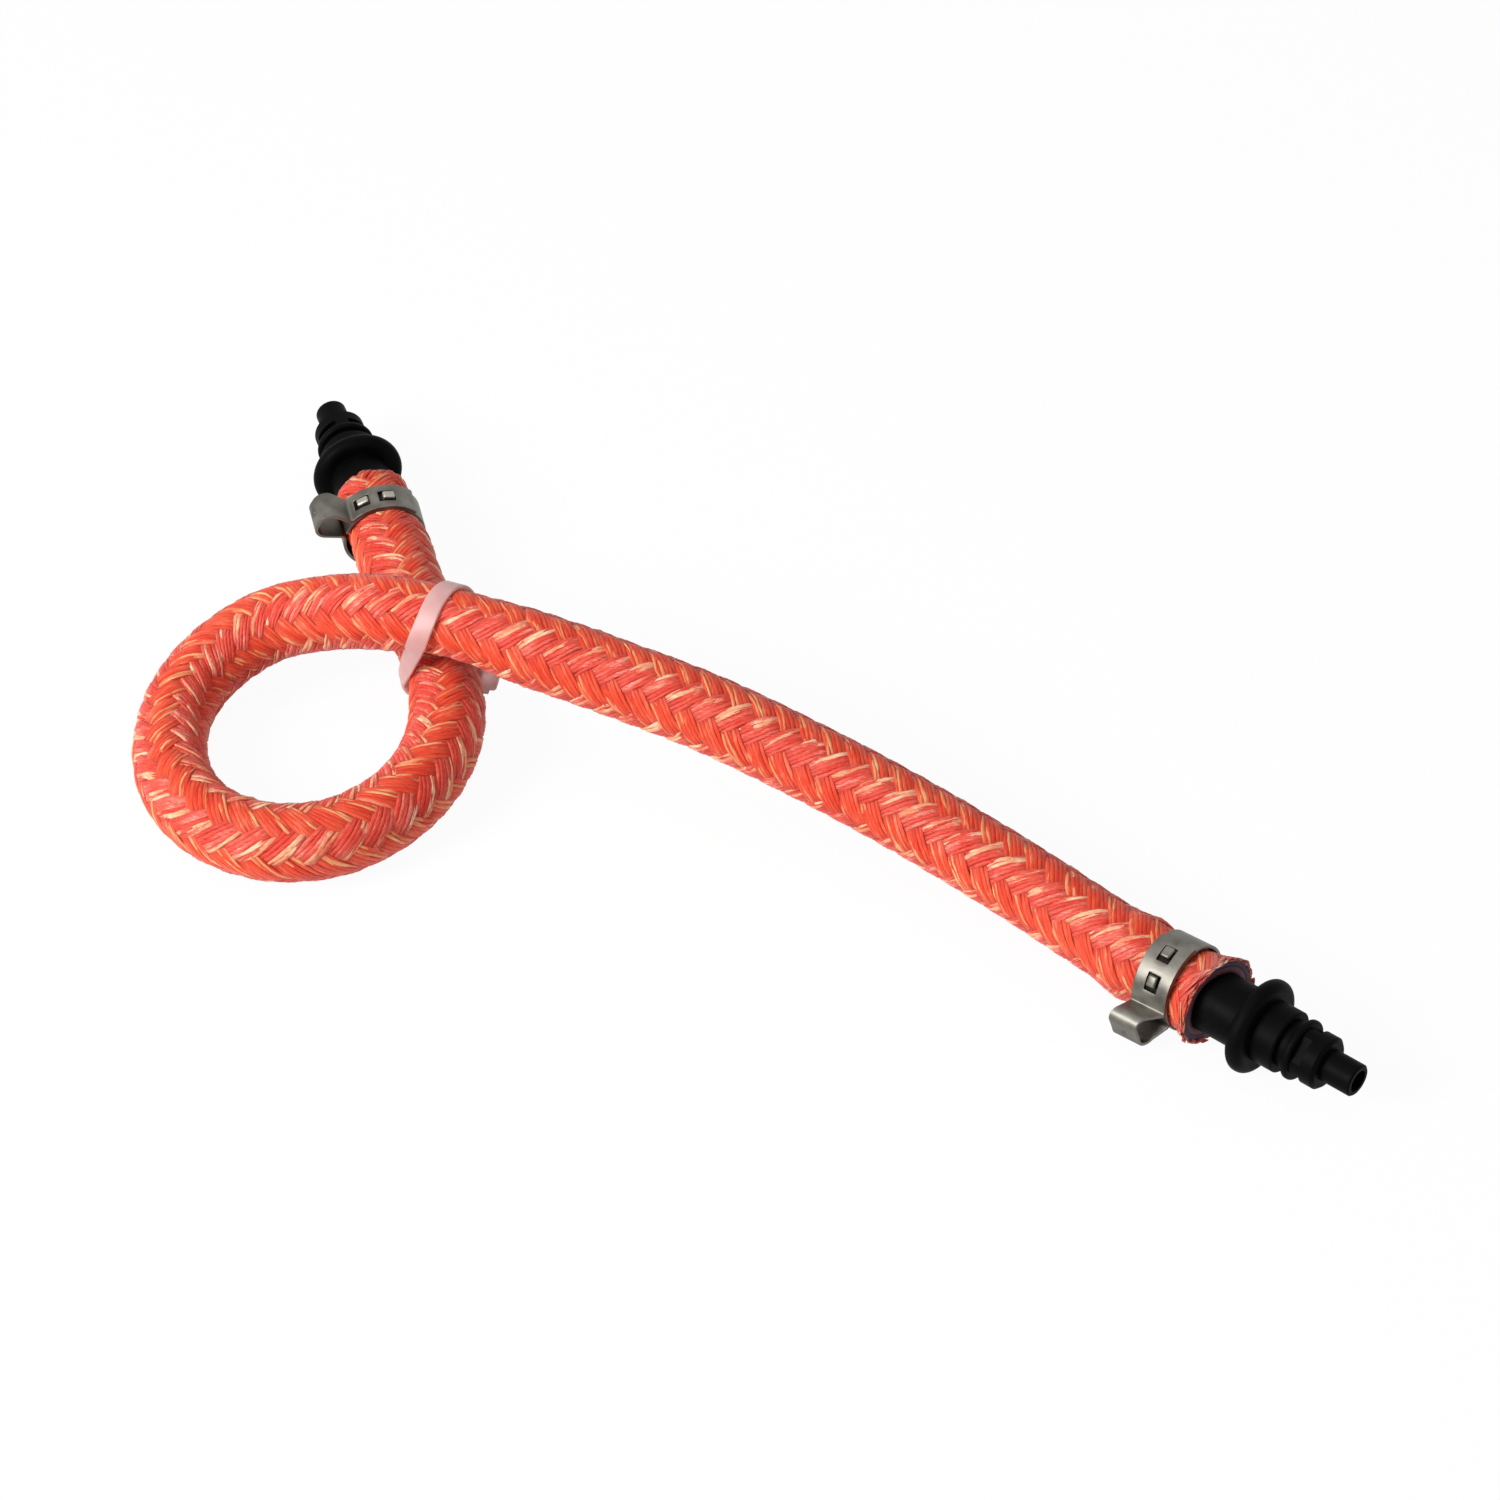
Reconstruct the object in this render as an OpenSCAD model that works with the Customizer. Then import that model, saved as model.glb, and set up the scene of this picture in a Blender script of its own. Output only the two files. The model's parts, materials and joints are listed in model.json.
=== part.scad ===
// Braided hose assembly: a short textile-braided hose laid in one loop, with a
// stepped plug-in fitting clamped in each end and a cable tie round the crossing.
// Millimetres. Z = 0 is the surface it lies on, and +X follows the near fitting's axis.

/* [Hose] */
// Bore of the rubber liner
hose_bore = 11; // [10.4:0.1:11.2]
// Wall of the rubber liner
liner_wall = 0.6; // [0.4:0.05:0.8]
// Wall of the bonded ply over the liner
ply_wall = 0.35; // [0.2:0.05:0.5]
// Wall of the textile braid over the ply
braid_wall = 0.55; // [0.4:0.05:0.6]
// Growth of the hose radius at each cut end
end_flare = 0.8; // [0:0.1:1]

/* [End fittings] */
// Length of the shank behind the stop flange
shank_len = 22; // [20:0.5:26]
// How far the plain root of the shank presses into the liner
shank_bite = 0.2; // [0.05:0.05:0.3]
// How far the barbs press into the liner
barb_bite = 0.35; // [0.1:0.05:0.4]
// Diameter of the shank between the barbs
barb_root_d = 10.2; // [9.6:0.1:10.6]
// Length of one barb along the shank
barb_pitch = 4; // [3:0.1:4.5]
// Number of barbs
barb_count = 3; // [2:1:3]
// Diameter of the stop flange
flange_d = 17.3; // [16.5:0.1:17.3]
// Thickness of the stop flange
flange_t = 3.4; // [2.4:0.1:3.6]
// Diameter of the plain barrel in front of the flange
barrel_d = 11.4; // [10.8:0.1:12]
// Length of the plain barrel
barrel_len = 4.6; // [4:0.1:6]
// Diameter at the bottom of the neck groove
groove_d = 8.8; // [8:0.1:9.4]
// Width of the neck groove
groove_w = 1.7; // [1:0.1:2]
// Diameter of the ring in front of the groove
ring_d = 11.1; // [10.4:0.1:11.4]
// Width of that ring
ring_w = 1.4; // [1:0.1:2]
// Diameter over the keys and the collar in front of the ring
collar_d = 9.7; // [9.2:0.1:10.2]
// Width of the keyed stretch
key_w = 2; // [1.5:0.1:3]
// Depth of the pockets between the keys
pocket_depth = 0.9; // [0.4:0.1:1.1]
// Width of a key between two pockets
key_land = 2; // [1.2:0.1:3]
// Number of keys
key_count = 4; // [3:1:5]
// Width of the collar
collar_w = 2.9; // [2:0.1:4]
// Diameter of the tip tube
tip_d = 5.9; // [5.5:0.1:6.5]
// Length of the tip tube
tip_len = 5.9; // [4:0.1:8]
// Bore of the shank
shank_bore = 7; // [5:0.1:7.4]
// Bore of the tip tube
tip_bore = 4; // [2.5:0.1:4.2]
// Length of shank left bare between the near flange and the hose
near_bare_len = 6.9; // [0:0.1:8]
// Length of shank left bare between the far flange and the hose
far_bare_len = 7.7; // [0:0.1:8]

/* [Clamps] */
// Width of the clamp band
band_w = 7; // [5:0.1:8]
// Thickness of the band strip
band_t = 0.6; // [0.4:0.05:0.7]
// Clearance between the hose and the open band
band_slack = 0.3; // [0.3:0.05:0.5]
// Height of the near clamp's ear above the band
near_ear_height = 4.8; // [4:0.1:6.5]
// Height of the far clamp's ear above the band, closed less than the near one
far_ear_height = 6; // [4:0.1:6.5]
// Width of the ear across its crown
ear_crown_w = 5.8; // [5:0.1:7]
// Radius of the two outer bends of the ear
ear_bend_r = 1.8; // [1.4:0.1:2.4]
// Lean of each ear leg
ear_lean = 10; // [0:1:16]
// Length of a window round the band
window_len = 3.1; // [2.5:0.1:3.6]
// Width of a window across the band
window_w = 2.5; // [2:0.1:3]
// Distance of the near clamp's middle from the hose end
near_clamp_in = 9.5; // [6:0.1:12]
// Distance of the far clamp's middle from the hose end
far_clamp_in = 9.6; // [6:0.1:14]
// Turn of the far clamp away from square across the hose
far_clamp_turn = 4; // [0:0.5:4]

/* [Cable tie] */
// Width of the strap
tie_w = 3.7; // [3:0.1:4.8]
// Thickness of the strap
tie_t = 0.9; // [0.8:0.05:1]
// Clearance between the hose and the strap
tie_slack = 0.55; // [0.5:0.05:0.6]
// Distance of the strap from the crossing, along the upper length towards the near end
tie_along_high = 2.2; // [0:0.1:3]
// Distance of the strap from the crossing, along the lower length towards the far end
tie_along_low = 3.2; // [0:0.1:4]
// Turn of the strap away from square across the upper length
tie_turn = 8; // [0:1:10]

/* [Hidden] */
$fn = 64;

// Hose centreline from its far end to its near end
route = [
    [-102.9, 36.1, 8.65], [-96.9, 32.5, 8.65], [-85.4, 25.6, 8.65], // straight in the far clamp
    [-74.1, 18.4, 8.55], [-63, 11.7, 8.5], [-53.7, 4.7, 8.45],      // leg under the crossing
    [-46.5, -3.3, 8.2], [-41.6, -13.6, 7.6], [-40.4, -25.3, 7.15],
    [-43.4, -36.2, 7.05], [-51.2, -44, 7.05], [-62.2, -46.8, 7.05],   // loop flat on the surface
    [-73.2, -44, 7.05], [-82.7, -36.8, 7.1], [-89.2, -27.3, 7.7],
    [-91.2, -16.3, 9.6], [-87.8, -6.4, 12.8], [-78.4, 0, 17],       // climbing to the crossing
    [-66, 3.5, 21.5], [-52.5, 7.8, 23.2], [-39, 12, 22.4],
    [-23.5, 17, 20.9], [-6.5, 22.2, 18.8], [11, 26.4, 15.9],        // long run down
    [28.5, 29.6, 13], [44, 31.3, 10.8], [58, 31.8, 9.4],
    [71, 31.3, 8.8], [82, 30.6, 8.65], [92, 30.5, 8.65],
    [101, 30.5, 8.65]                                               // straight in the near clamp
];
tube_sides = 12;
rings_per_span = 2;
check_steps = 8;        // points per span where gaps are measured
far_apart = 6;          // spans that separate two lengths of hose

shank_d = hose_bore + 2 * shank_bite;
barb_d = hose_bore + 2 * barb_bite;
liner_r = hose_bore / 2 + liner_wall;
ply_r = liner_r + ply_wall;
hose_r = ply_r + braid_wall;
facet_out = 1 / cos(180 / tube_sides);   // puts the middle of each facet on the true radius
band_r = hose_r + band_slack;
tie_r = hose_r + tie_slack;
bend_steps = 7;         // flats round each bend of a clamp ear

// ---- centreline -------------------------------------------------------------

function unit(v) = v / norm(v);

function chord(i) = norm(route[i + 1] - route[i]);

function slope(i) = (route[i + 1] - route[i]) / chord(i);

// Direction of the centreline at a point, weighted towards its shorter side
function heading(i) =
    i == 0 ? slope(0)
    : i == len(route) - 1 ? slope(i - 1)
    : (slope(i) * chord(i - 1) + slope(i - 1) * chord(i)) / (chord(i - 1) + chord(i));

// Point a share t of the way along span i, on a smooth cubic
function along(i, t) =
    let (p = route[i], q = route[i + 1], a = heading(i) * chord(i), b = heading(i + 1) * chord(i))
    p + a * t + (3 * (q - p) - 2 * a - b) * t * t + (2 * (p - q) + a + b) * t * t * t;

function centreline(steps) = concat(
    [for (i = [0 : len(route) - 2]) for (k = [0 : steps - 1]) along(i, k / steps)],
    [route[len(route) - 1]]);

function tangent(line, i) =
    unit(line[min(i + 1, len(line) - 1)] - line[max(i - 1, 0)]);

// ---- where the hose crosses itself ------------------------------------------

fine = centreline(check_steps);
pairs = [for (i = [0 : len(fine) - 1])
    for (j = [i + far_apart * check_steps : 1 : len(fine) - 1])
    [norm(fine[i] - fine[j]), i, j]];
closest = min([for (p = pairs) p[0]]);
crossing = [for (p = pairs) if (p[0] == closest) p][0];
echo(least_gap_of_hose_to_itself = closest - 2 * hose_r);

// ---- hose -------------------------------------------------------------------

// One ring of points round a place on the centreline, its facets level at top and bottom
function ring(c, t, r) =
    let (side = unit([t[1], -t[0], 0]), up = cross(side, t))
    [for (k = [0 : tube_sides - 1])
        let (a = 360 * (k + 0.5) / tube_sides)
        c + r * facet_out * (cos(a) * side + sin(a) * up)];

// The end rings are wider, where the shank spreads the cut hose
function flare(i, count) = i == 0 || i == count - 1 ? end_flare : 0;

// Wall of a stack of rings that starts at point number base
function skin(count, sides, base, inwards) =
    [for (i = [0 : count - 2]) for (k = [0 : sides - 1])
        let (n = (k + 1) % sides,
             p = base + i * sides + k, q = base + i * sides + n,
             u = p + sides, v = q + sides)
        for (f = inwards ? [[p, v, q], [p, u, v]] : [[p, q, v], [p, v, u]]) f];

// Flat ring that closes a tube end, between the rings that start at points a and b
function end_ring(a, b, sides, first) =
    [for (k = [0 : sides - 1])
        let (n = (k + 1) % sides)
        for (f = first ? [[a + k, b + n, a + n], [a + k, b + k, b + n]]
                       : [[a + k, a + n, b + n], [a + k, b + n, b + k]]) f];

module swept_tube(outer_r, inner_r) {
    line = centreline(rings_per_span);
    count = len(line);
    inner = count * tube_sides;
    points = concat(
        [for (i = [0 : count - 1]) each ring(line[i], tangent(line, i), outer_r + flare(i, count))],
        [for (i = [0 : count - 1]) each ring(line[i], tangent(line, i), inner_r + flare(i, count))]);
    faces = concat(
        skin(count, tube_sides, 0, false),
        skin(count, tube_sides, inner, true),
        end_ring(0, inner, tube_sides, true),
        end_ring(inner - tube_sides, 2 * inner - tube_sides, tube_sides, false));
    polyhedron(points, faces);
}

module hose_liner() {
    color("#3a1a24") swept_tube(liner_r, hose_bore / 2);
}

module hose_ply() {
    color("#5a3350") swept_tube(ply_r, liner_r);
}

module hose_braid() {
    color("#e0523a") swept_tube(hose_r, ply_r);
}

// ---- placing on the hose ends -----------------------------------------------

far_end = route[0];
near_end = route[len(route) - 1];
function azimuth(v) = atan2(v[1], v[0]);
far_azimuth = azimuth(-slope(0));
near_azimuth = azimuth(slope(len(route) - 2));

// Turns +Z to point out of the hose; +X is then down and +Y is to the left
module on_far_end() translate(far_end) rotate([0, 90, far_azimuth]) children();
module on_near_end() translate(near_end) rotate([0, 90, near_azimuth]) children();

// ---- end fitting ------------------------------------------------------------

edge = 0.3;                // small chamfers
rim_r = 1.6;               // rounding of the flange rim
ring_r = 0.55;             // rounding of the ring
barb_land = 0.5;           // flat on the crest of a barb
shank_cone = 2;            // length of the step between the two bores

z_groove = flange_t + barrel_len;
z_ring = z_groove + groove_w;
z_key = z_ring + ring_w;
z_collar = z_key + key_w;
z_tip = z_collar + collar_w;
z_mouth = z_tip + tip_len;

module step(r, from, to, back = edge, front = edge) {
    polygon([[0, from], [r - back, from], [r, from + back],
             [r, to - front], [r - front, to], [0, to]]);
}

module shank_profile() {
    for (i = [0 : barb_count - 1]) {
        z = -shank_len + i * barb_pitch;
        polygon([[0, z], [barb_root_d / 2, z], [barb_d / 2, z + barb_pitch - barb_land],
                 [barb_d / 2, z + barb_pitch], [0, z + barb_pitch]]);
    }
    step(shank_d / 2, -shank_len + barb_count * barb_pitch, 0, edge, 0);
}

// Disc section whose rim is rounded to the radius round_r
module bead(r, from, to, round_r) {
    translate([0, from + round_r]) square([r, to - from - 2 * round_r]);
    translate([0, from]) square([r - round_r, to - from]);
    for (z = [from + round_r, to - round_r])
        translate([r - round_r, z]) circle(r = round_r);
}

module body_profile() {
    shank_profile();
    bead(flange_d / 2, 0, flange_t, rim_r);
    step(barrel_d / 2, flange_t, z_groove, 0);
    translate([0, z_groove]) square([groove_d / 2, groove_w]);
    bead(ring_d / 2, z_ring, z_key, ring_r);
    translate([0, z_key]) square([collar_d / 2, key_w]);
    step(collar_d / 2, z_collar, z_tip, 0, 2 * edge);
    step(tip_d / 2, z_tip, z_mouth, 0);
}

module bore_profile() {
    below = -shank_len - 1;
    polygon([[0, below], [shank_bore / 2, below], [shank_bore / 2, z_groove - shank_cone],
             [tip_bore / 2, z_groove], [tip_bore / 2, z_mouth + 1], [0, z_mouth + 1]]);
}

// Flat-bottomed pockets that leave the keys standing between them
module pockets() {
    across = collar_d * sin(180 / key_count) - key_land;
    for (i = [0 : key_count - 1])
        rotate([0, 0, 360 * (i + 0.5) / key_count])
            translate([collar_d / 2 - pocket_depth, -across / 2, z_key])
                cube([pocket_depth + 1, across, key_w]);
}

module end_fitting() {
    color("#1d1d1f") difference() {
        rotate_extrude() body_profile();
        rotate_extrude() bore_profile();
        pockets();
    }
}

module near_fitting() {
    on_near_end() translate([0, 0, near_bare_len]) end_fitting();
}

module far_fitting() {
    on_far_end() translate([0, 0, far_bare_len]) end_fitting();
}

// ---- ear clamp --------------------------------------------------------------

lap_from = 13;             // angles round the band, from the middle of the ear
lap_to = 111;
window_angles = [44, 81];
tongue_end = 8;            // the inner end stops this far past the middle of the ear
slit = 0.5;                // gap where the inner end stops
ear_foot = 22;             // angle where the ear legs start inside the band
hook_w = 1.8;              // raised hook in each window
hook_len = 2;
dimple_r = 0.9;

function arc_points(centre, r, from, to) =
    [for (k = [0 : bend_steps])
        let (a = from + (to - from) * k / bend_steps)
        centre + r * [cos(a), sin(a)]];

// Section through an ear that reaches crown_r, drawn smaller by the inset; its legs lean together
module ear_section(crown_r, inset) {
    r = ear_bend_r - inset;
    cx = crown_r - ear_bend_r;
    cy = ear_crown_w / 2 - ear_bend_r;
    foot_x = band_r * cos(ear_foot);
    leg = cx - r * sin(ear_lean) - foot_x;
    foot_y = cy + r * cos(ear_lean) - leg * tan(ear_lean);
    polygon(concat(
        [[foot_x, -foot_y]],
        arc_points([cx, -cy], r, -90 - ear_lean, 0),
        arc_points([cx, cy], r, 0, 90 + ear_lean),
        [[foot_x, foot_y]]));
}

module wedge(from, to, r) {
    polygon(concat([[0, 0]], [for (k = [0 : 6]) let (a = from + (to - from) * k / 6)
        2 * r * [cos(a), sin(a)]]));
}

module clamp_section(crown_r) {
    difference() {
        union() {
            circle(r = band_r + band_t);
            intersection() {
                circle(r = band_r + 2 * band_t);
                wedge(lap_from, lap_to, band_r);
            }
            ear_section(crown_r, 0);
        }
        circle(r = band_r);
        difference() {
            ear_section(crown_r, band_t);
            circle(r = band_r + band_t);
        }
        rotate(-tongue_end) translate([band_r - 1, -slit / 2]) square([band_t + 1, slit]);
    }
}

module ear_clamp(ear_height) {
    crown_r = band_r + band_t + ear_height;
    color("#a9aaa8") {
        difference() {
            linear_extrude(band_w, center = true) clamp_section(crown_r);
            for (a = window_angles)
                rotate(a) translate([band_r + band_t, -window_len / 2, -window_w / 2])
                    cube([2 * band_t, window_len, window_w]);
            translate([crown_r + dimple_r * 0.45, 0, 0]) sphere(r = dimple_r);
        }
        for (a = window_angles)
            rotate(a) translate([band_r + band_t / 2, -hook_len / 2, -hook_w / 2])
                cube([band_t * 1.3, hook_len, hook_w]);
    }
}

near_ear = 17;             // angle of the ear below the level of the hose axis
far_ear = -27;

module near_clamp() {
    on_near_end() translate([0, 0, -near_clamp_in])
        rotate(-90 + near_ear) rotate([180, 0, 0]) ear_clamp(near_ear_height);
}

module far_clamp() {
    on_far_end() translate([0, 0, -far_clamp_in])
        rotate([far_clamp_turn, 0, 0]) rotate(90 - far_ear) ear_clamp(far_ear_height);
}

// ---- cable tie --------------------------------------------------------------

arc_steps = 12;
side_steps = 6;
head_size = [4.2, 5.4, 4.6];    // out from the hose, across the strap, along it
head_angle = 16;                // below the level of the lower hose

low_dir = tangent(fine, crossing[1]);
high_dir = tangent(fine, crossing[2]);
low = fine[crossing[1]] - low_dir * tie_along_low;
high = fine[crossing[2]] + high_dir * tie_along_high;

function level(a) = [cos(a), sin(a), 0];

// Directions square to each length of hose, and out of the strap's arcs on the loop's side
high_square = azimuth(high_dir) - 90;
low_square = azimuth(low_dir) - 90;
high_side = high_square - tie_turn;
swing = low_square - high_side;
swing_share = 0.16;             // how much of the swing each end of an arc takes up
swing_reach = 50;               // angle round the arc over which it does so

// Swing of an arc at the angle a, growing smoothly towards both of its ends
function swung(a) = swing * swing_share * pow(max(0, 1 - min(a, 180 - a) / swing_reach), 2);

// A place on the strap's inner face and the hose's outward normal there
function strap_arc(c, square, side, a, r) =
    let (away = level(side) * cos(a) + [0, 0, sin(a)],
         normal = level(square) * cos(side - square) * cos(a) + [0, 0, sin(a)])
    [c + away * r / norm(normal), unit(normal)];

function blend(a, b, t) = [a[0] + (b[0] - a[0]) * t, unit(a[1] + (b[1] - a[1]) * t)];

function strap_loop(r) =
    let (top = [for (k = [0 : arc_steps]) let (a = 180 * k / arc_steps)
             strap_arc(high, high_square, high_side + swung(a), a, r)],
         bottom = [for (k = [0 : arc_steps]) let (a = 180 * k / arc_steps)
             strap_arc(low, low_square, low_square - swung(a), 180 + a, r)])
    concat(top,
        [for (k = [1 : side_steps - 1]) blend(top[arc_steps], bottom[0], k / side_steps)],
        bottom,
        [for (k = [1 : side_steps - 1]) blend(bottom[arc_steps], top[0], k / side_steps)]);

module strap() {
    loop = strap_loop(tie_r);
    count = len(loop);
    corners = [for (i = [0 : count - 1])
        let (p = loop[i][0], out = loop[i][1],
             t = unit(loop[(i + 1) % count][0] - loop[(i + count - 1) % count][0]),
             w = unit(cross(t, out)))
        each [p - w * tie_w / 2, p + w * tie_w / 2,
              p + w * tie_w / 2 + out * tie_t, p - w * tie_w / 2 + out * tie_t]];
    faces = [for (i = [0 : count - 1]) for (k = [0 : 3])
        let (j = (i + 1) % count, n = (k + 1) % 4,
             a = 4 * i + k, b = 4 * i + n, c = 4 * j + n, d = 4 * j + k)
        for (f = [[a, b, c], [a, c, d]]) f];
    polyhedron(corners, faces);
}

module tie_head() {
    translate(low) rotate([0, 0, low_square]) rotate([0, 180 - head_angle, 0])
        translate([tie_r + 0.1, -head_size[1] / 2, -head_size[2] / 2]) {
            cube([head_size[0], head_size[1], head_size[2]]);
        }
}

module cable_tie() {
    color("#efe6e2") {
        strap();
        tie_head();
    }
}

hose_liner();
hose_ply();
hose_braid();
near_fitting();
far_fitting();
near_clamp();
far_clamp();
cable_tie();
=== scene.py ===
import bpy
import bmesh
import json
import math
from functools import partial
from mathutils import Vector, Matrix

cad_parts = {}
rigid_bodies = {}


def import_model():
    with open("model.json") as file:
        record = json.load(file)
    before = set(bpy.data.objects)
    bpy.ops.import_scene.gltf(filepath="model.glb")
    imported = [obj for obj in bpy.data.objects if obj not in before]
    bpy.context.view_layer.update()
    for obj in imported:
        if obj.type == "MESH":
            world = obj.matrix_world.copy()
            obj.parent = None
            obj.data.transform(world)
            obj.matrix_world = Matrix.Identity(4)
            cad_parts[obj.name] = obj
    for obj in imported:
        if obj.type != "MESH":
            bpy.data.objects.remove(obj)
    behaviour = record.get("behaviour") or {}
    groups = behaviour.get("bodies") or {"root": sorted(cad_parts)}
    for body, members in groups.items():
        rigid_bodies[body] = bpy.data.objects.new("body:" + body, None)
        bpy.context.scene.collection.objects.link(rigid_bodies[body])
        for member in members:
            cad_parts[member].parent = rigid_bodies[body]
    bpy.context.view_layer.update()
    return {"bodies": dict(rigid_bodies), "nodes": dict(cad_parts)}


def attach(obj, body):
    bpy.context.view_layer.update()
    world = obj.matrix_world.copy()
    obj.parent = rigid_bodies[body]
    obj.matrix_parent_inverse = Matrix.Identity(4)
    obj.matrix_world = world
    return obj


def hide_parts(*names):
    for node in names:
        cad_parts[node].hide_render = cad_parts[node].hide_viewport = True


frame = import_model()
mm = 0.001

cameraSetup = {
    "azimuth": 40.6,  # degrees round from the -Y side
    "elevation": 41.0,
    "distance": 902.3,  # mm from the place looked at
    "lookAt": (-8.0, 36.0, 0.0),
    "lens": 119.28,
    "sensor": 36.0,
    "clip": (0.01, 20.0),
}


def placeCamera(setup):
    turn, lift = math.radians(setup["azimuth"]), math.radians(setup["elevation"])
    back = Vector((math.sin(turn) * math.cos(lift), -math.cos(turn) * math.cos(lift), math.sin(lift)))
    data = bpy.data.cameras.new("studioCamera")
    data.lens = setup["lens"]
    data.sensor_width = setup["sensor"]
    data.clip_start, data.clip_end = setup["clip"]
    camera = bpy.data.objects.new("studioCamera", data)
    camera.location = (Vector(setup["lookAt"]) + back * setup["distance"]) * mm
    camera.rotation_euler = back.to_track_quat("Z", "Y").to_euler()
    bpy.context.collection.objects.link(camera)
    bpy.context.scene.camera = camera


placeCamera(cameraSetup)
print("camera placed")


def linear(hexColour):
    channels = []
    for start in (1, 3, 5):
        value = int(hexColour[start:start + 2], 16) / 255
        channels.append(value / 12.92 if value <= 0.04045 else ((value + 0.055) / 1.055) ** 2.4)
    return (*channels, 1.0)


def fillRamp(ramp, stops):
    while len(ramp.elements) > 1:
        ramp.elements.remove(ramp.elements[-1])
    ramp.elements[0].position = stops[0][0]
    ramp.elements[0].color = linear(stops[0][1])
    for place, colour in stops[1:]:
        ramp.elements.new(place).color = linear(colour)


def addNode(tree, kind, settings=None, inputs=None):
    # settings may be the name of an operation alone, or hold the stops of a colour ramp;
    # inputs may be values, sockets, or nodes whose first output is meant
    node = tree.nodes.new(kind)
    if isinstance(settings, str):
        settings = {"operation": settings}
    for name, value in (settings or {}).items():
        if name == "stops":
            fillRamp(node.color_ramp, value)
        else:
            setattr(node, name, value)
    pairs = enumerate(inputs) if isinstance(inputs, list) else (inputs or {}).items()
    for key, value in pairs:
        if isinstance(value, bpy.types.Node):
            value = value.outputs[0]
        if isinstance(value, bpy.types.NodeSocket):
            tree.links.new(value, node.inputs[key])
        else:
            node.inputs[key].default_value = value
    return node


maths = "ShaderNodeMath"
vectors = "ShaderNodeVectorMath"


def newMaterial(name):
    material = bpy.data.materials.new(name)
    material.use_nodes = True
    tree = material.node_tree
    tree.nodes.clear()
    return material, tree


def finishMaterial(tree, surface, height, strength, distance):
    relief = addNode(tree, "ShaderNodeBump", inputs={
        "Strength": strength, "Distance": distance * mm, "Height": height})
    tree.links.new(relief.outputs[0], surface.inputs["Normal"])
    addNode(tree, "ShaderNodeOutputMaterial", inputs={"Surface": surface})


def grainedMaterial(name, finish, stops):
    # colour and gloss vary with a cloud, and the grain, where there is none the cloud, is raised a little
    material, tree = newMaterial(name)
    add = partial(addNode, tree)
    where = add("ShaderNodeTexCoord").outputs["Object"]
    cloud, grain = (add("ShaderNodeTexNoise", inputs={"Vector": where, **noise})
                    for noise in (finish["cloud"], finish.get("grain", finish["cloud"])))
    colour = add("ShaderNodeValToRGB", {"stops": stops}, [cloud])
    # a cloud's values lie mostly between 0.3 and 0.7
    rough = add("ShaderNodeMapRange", inputs=[cloud, 0.3, 0.7, *finish["roughness"]])
    surface = add("ShaderNodeBsdfPrincipled", inputs={
        "Base Color": colour, "Roughness": rough, **finish["surface"]})
    finishMaterial(tree, surface, grain, *finish["relief"])
    return material


def meshObject(name, points, faces):
    mesh = bpy.data.meshes.new(name)
    mesh.from_pydata([tuple(p) for p in points], [], faces)
    mesh.update()
    made = bpy.data.objects.new(name, mesh)
    bpy.context.collection.objects.link(made)
    mesh.polygons.foreach_set("use_smooth", [True] * len(mesh.polygons))
    return made


def finishedMesh(piece):
    # what the modifiers make of a piece, as a plain mesh
    depsgraph = bpy.context.evaluated_depsgraph_get()
    return bpy.data.meshes.new_from_object(piece.evaluated_get(depsgraph))


def fixNormals(piece, change=None):
    # turns all faces outwards, after a change to the mesh where there is one
    work = bmesh.new()
    work.from_mesh(piece.data)
    if change:
        change(work)
    bmesh.ops.recalc_face_normals(work, faces=work.faces)
    work.to_mesh(piece.data)
    work.free()


def shadeSmooth(mesh, sharpFrom):
    mesh.polygons.foreach_set("use_smooth", [True] * len(mesh.polygons))
    mesh.set_sharp_from_angle(angle=math.radians(sharpFrom))


def roundedBlock(work, place, size, soft, segments):
    made = bmesh.ops.create_cube(work, size=1.0)
    bmesh.ops.transform(work, matrix=place @ Matrix.Diagonal((*size, 1)), verts=made["verts"])
    edges = list({e for v in made["verts"] for e in v.link_edges})
    return bmesh.ops.bevel(work, geom=edges, offset=soft, segments=segments, profile=0.5, affect="EDGES")


def turned(degrees, axis):
    return Matrix.Rotation(math.radians(degrees), 4, axis)


# route of the hose, in mm, from its far end to its near end
routePoints = [
    (-102.9, 36.1, 8.65), (-96.9, 32.5, 8.65), (-85.4, 25.6, 8.65),
    (-74.1, 18.4, 8.55), (-63, 11.7, 8.5), (-53.7, 4.7, 8.45),
    (-46.5, -3.3, 8.2), (-41.6, -13.6, 7.6), (-40.4, -25.3, 7.15),
    (-43.4, -36.2, 7.05), (-51.2, -44, 7.05), (-62.2, -46.8, 7.05),
    (-73.2, -44, 7.05), (-82.7, -36.8, 7.1), (-89.2, -27.3, 7.7),
    (-91.2, -16.3, 9.6), (-87.8, -6.4, 12.8), (-78.4, 0, 17),
    (-66, 3.5, 21.5), (-52.5, 7.8, 23.2), (-39, 12, 22.4),
    (-23.5, 17, 20.9), (-6.5, 22.2, 18.8), (11, 26.4, 15.9),
    (28.5, 29.6, 13), (44, 31.3, 10.8), (58, 31.8, 9.4),
    (71, 31.3, 8.8), (82, 30.6, 8.65), (92, 30.5, 8.65),
    (101, 30.5, 8.65),
]
route = [Vector(p) for p in routePoints]


def slope(i):
    return (route[i + 1] - route[i]).normalized()


def chord(i):
    return (route[i + 1] - route[i]).length


def heading(i):
    if i == 0:
        return slope(0)
    if i == len(route) - 1:
        return slope(i - 1)
    return (slope(i) * chord(i - 1) + slope(i - 1) * chord(i)) / (chord(i - 1) + chord(i))


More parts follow.
